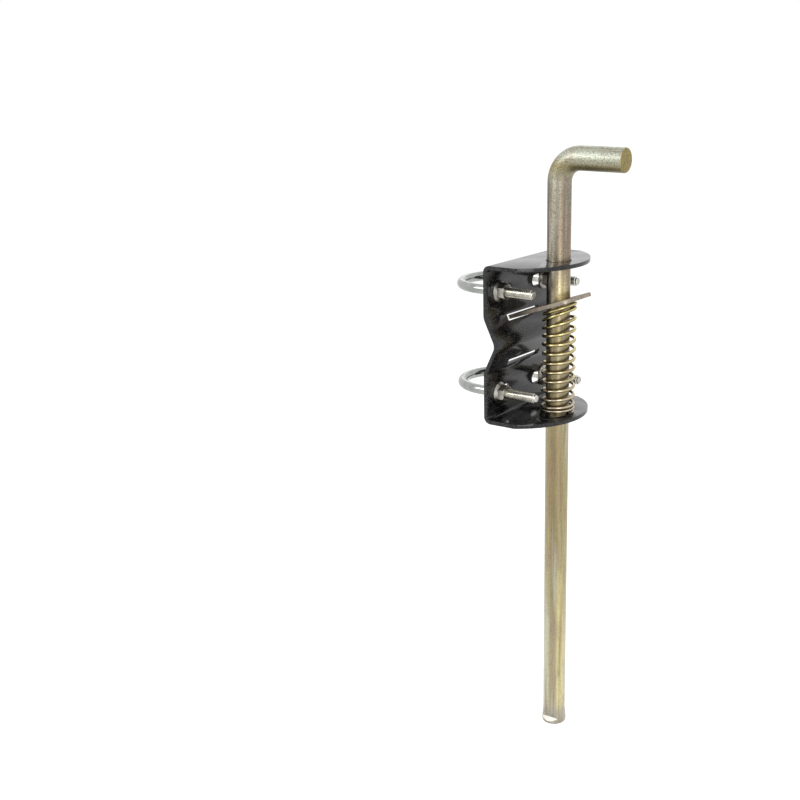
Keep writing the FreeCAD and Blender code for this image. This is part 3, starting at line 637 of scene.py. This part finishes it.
def u_bolt(front, rise):
    """A U-bolt drawn from one leg's end, round the bend and out to the other's."""
    plain_start = front - LEG_CHAMFER - THREAD_LENGTH
    middle = (CLAMP_BEND_X, 0, rise)
    swelling = WIRE_RADIUS / THREAD_ROOT
    wire = start_ring((front, -LEG_SPREAD, rise), THREAD_ROOT, "x", WIRE_SIDES)
    draw_out((plain_start - front, 0, 0))
    draw_out((-THREAD_RUNOUT, 0, 0))
    swell(swelling, (plain_start - THREAD_RUNOUT, -LEG_SPREAD, rise))
    draw_out((CLAMP_BEND_X - plain_start + THREAD_RUNOUT, 0, 0))
    bpy.ops.mesh.spin(steps=2 * BEND_STEPS, angle=math.pi, axis=(0, 0, 1), center=middle)
    draw_out((plain_start - THREAD_RUNOUT - CLAMP_BEND_X, 0, 0))
    draw_out((THREAD_RUNOUT, 0, 0))
    swell(1 / swelling, (plain_start, LEG_SPREAD, rise))
    draw_out((front - plain_start, 0, 0))
    close_ends()
    chamfer_rim(lambda at: at.x > front - END_FACE_GAP, LEG_RIM, 1)
    bpy.ops.object.mode_set(mode="OBJECT")
    bpy.ops.object.shade_smooth_by_angle(angle=SMOOTH_UP_TO)
    threads = [leg_thread(front, side * LEG_SPREAD, rise) for side in (-1, 1)]
    clear_selection()
    for thread in threads:
        thread.select_set(True)
    bpy.ops.object.shade_smooth_by_angle(angle=RIDGE_SMOOTH_UP_TO)
    wire.select_set(True)
    bpy.context.view_layer.objects.active = wire
    bpy.ops.object.join()
    return wire


for level, front, rise in (("upper", UPPER_LEG_FRONT, CLAMP_RISE),
                           ("lower", LOWER_LEG_FRONT, -CLAMP_RISE)):
    hand_over(u_bolt(front, rise), f"u_bolt_{level}", f"{level}_u_bolt", "body",
              CLAMP_ZINC)

# Spring: round wire wound up from the lower ear, its top turns along the lever.
SPRING_COIL = (28.2 * MM - SPRING_WIRE) / 2
SPRING_TURNS = 13.4
CLOSED_BELOW, CLOSED_ABOVE, OPENING_TURNS, LEAN_TURNS = 1.5, 0.75, 1.0, 4.0
CLOSED_PITCH = SPRING_WIRE * 1.04
STEPS_PER_TURN = 36
PITCH_STEPS = 40
WIRE_ROUNDNESS = 3
COIL_SMOOTH_UP_TO = math.radians(40)


def smooth(value):
    """Eases from 0 to 1, level at both ends."""
    value = min(max(value, 0.0), 1.0)
    return value * value * (3 - 2 * value)


def opened(turn):
    """How many turns' worth of open pitch lie below this turn."""
    total = 0.0
    for step in range(PITCH_STEPS):
        at = turn * (step + 0.5) / PITCH_STEPS
        rising = min(max((at - CLOSED_BELOW) / OPENING_TURNS, 0.0), 1.0)
        falling = min(max((SPRING_TURNS - CLOSED_ABOVE - at) / OPENING_TURNS, 0.0), 1.0)
        total += min(rising, falling) * turn / PITCH_STEPS
    return total


def lever_spring():
    rise = SPRING_HIGH - SPRING_LOW
    open_extra = (rise - CLOSED_PITCH * SPRING_TURNS) / opened(SPRING_TURNS)
    count = round(SPRING_TURNS * STEPS_PER_TURN)
    curve = bpy.data.curves.new("spring_line", "CURVE")
    curve.dimensions = "3D"
    line = curve.splines.new("POLY")
    line.points.add(count)
    for step, point in enumerate(line.points):
        turn = SPRING_TURNS * step / count
        x = SPRING_COIL * math.cos(2 * math.pi * turn)
        y = SPRING_COIL * math.sin(2 * math.pi * turn)
        lean = smooth((turn - SPRING_TURNS + LEAN_TURNS + 1) / LEAN_TURNS)
        z = SPRING_LOW + CLOSED_PITCH * turn + open_extra * opened(turn)
        forward = SPRING_SHIFT * turn / SPRING_TURNS
        point.co = (BOLT_X + forward + x, y, z + lean * x * math.tan(LEVER_TILT), 1)
    curve.bevel_depth = SPRING_WIRE / 2
    curve.bevel_resolution = WIRE_ROUNDNESS
    coil = bpy.data.objects.new("spring_line", curve)
    bpy.context.scene.collection.objects.link(coil)
    clear_selection()
    coil.select_set(True)
    bpy.context.view_layer.objects.active = coil
    bpy.ops.object.convert(target="MESH")
    spring = bpy.context.active_object
    bpy.ops.object.mode_set(mode="EDIT")
    close_ends()
    bpy.ops.object.mode_set(mode="OBJECT")
    bpy.ops.object.shade_smooth_by_angle(angle=COIL_SMOOTH_UP_TO)
    return spring


spring = lever_spring()
hand_over(spring, "lever_spring", "spring", "body", SPRING_ZINC)
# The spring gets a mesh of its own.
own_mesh(spring)

# Plain white surroundings and soft studio light, in metres and watts.
FLOOR_DROP = 0.06
FLOOR_SIZE = 40.0
FLOOR_GLOW = 0.62
WORLD_LIGHT = 0.5
WHITE = 1.0


def add_floor():
    bpy.ops.mesh.primitive_plane_add(size=FLOOR_SIZE,
                                     location=(0, 0, CAD_BOX[0][2] - FLOOR_DROP))
    floor = bpy.context.active_object
    floor.name = "floor"
    material, tree = new_material("white_studio_floor")
    path = add_node(tree, "ShaderNodeLightPath")
    matt = add_node(tree, "ShaderNodeBsdfDiffuse", {"Color": srgb("#F4F4F2")})
    glow = add_node(tree, "ShaderNodeEmission",
                    {"Color": srgb("#FFFFFF"), "Strength": FLOOR_GLOW})
    lit = add_node(tree, "ShaderNodeAddShader", {}, {0: matt.outputs["BSDF"],
                                                     1: glow.outputs["Emission"]})
    seen = add_node(tree, "ShaderNodeMixShader", {},
                    {0: path.outputs["Is Camera Ray"], 1: matt.outputs["BSDF"],
                     2: lit.outputs["Shader"]})
    white = add_node(tree, "ShaderNodeEmission",
                     {"Color": srgb("#FFFFFF"), "Strength": WHITE})
    mix = add_node(tree, "ShaderNodeMixShader", {},
                   {0: path.outputs["Is Glossy Ray"], 1: seen.outputs["Shader"],
                    2: white.outputs["Emission"]})
    add_node(tree, "ShaderNodeOutputMaterial", {}, {"Surface": mix.outputs["Shader"]})
    floor.data.materials.append(material)


def add_lamp(name, place, target, width, height, power):
    data = bpy.data.lights.new(name, "AREA")
    data.shape = "RECTANGLE"
    data.size = width
    data.size_y = height
    data.energy = power
    lamp = bpy.data.objects.new(name, data)
    lamp.location = place
    lamp.rotation_euler = (Vector(target) - Vector(place)).to_track_quat("-Z", "Y").to_euler()
    bpy.context.scene.collection.objects.link(lamp)


def add_world():
    world = bpy.data.worlds.new("studio")
    bpy.context.scene.world = world
    world.use_nodes = True
    tree = world.node_tree
    tree.nodes.clear()
    path = add_node(tree, "ShaderNodeLightPath")
    seen = add_node(tree, "ShaderNodeMath", {"operation": "MAXIMUM"},
                    {0: path.outputs["Is Camera Ray"], 1: path.outputs["Is Glossy Ray"]})
    soft = srgb("#FFFFFF")
    dim = add_node(tree, "ShaderNodeBackground", {"Color": soft, "Strength": WORLD_LIGHT})
    white = add_node(tree, "ShaderNodeBackground", {"Color": soft, "Strength": WHITE})
    mix = add_node(tree, "ShaderNodeMixShader", {},
                   {0: seen.outputs["Value"], 1: dim.outputs["Background"],
                    2: white.outputs["Background"]})
    add_node(tree, "ShaderNodeOutputWorld", {}, {"Surface": mix.outputs["Shader"]})


add_floor()
add_world()
MIDDLE = (0.06, 0, 0)
add_lamp("key_softbox", (-0.75, -1.2, 0.75), MIDDLE, 0.7, 0.6, 6.0)
add_lamp("front_softbox", (0.7, -0.95, 1.0), MIDDLE, 0.5, 0.5, 4.0)
add_lamp("tall_strip", (0.95, -1.0, 0.1), MIDDLE, 0.6, 0.8, 3.3)
add_lamp("back_softbox", (-0.9, 1.35, 0.75), MIDDLE, 0.8, 0.8, 1.0)
bpy.context.scene.view_settings.view_transform = "Standard"
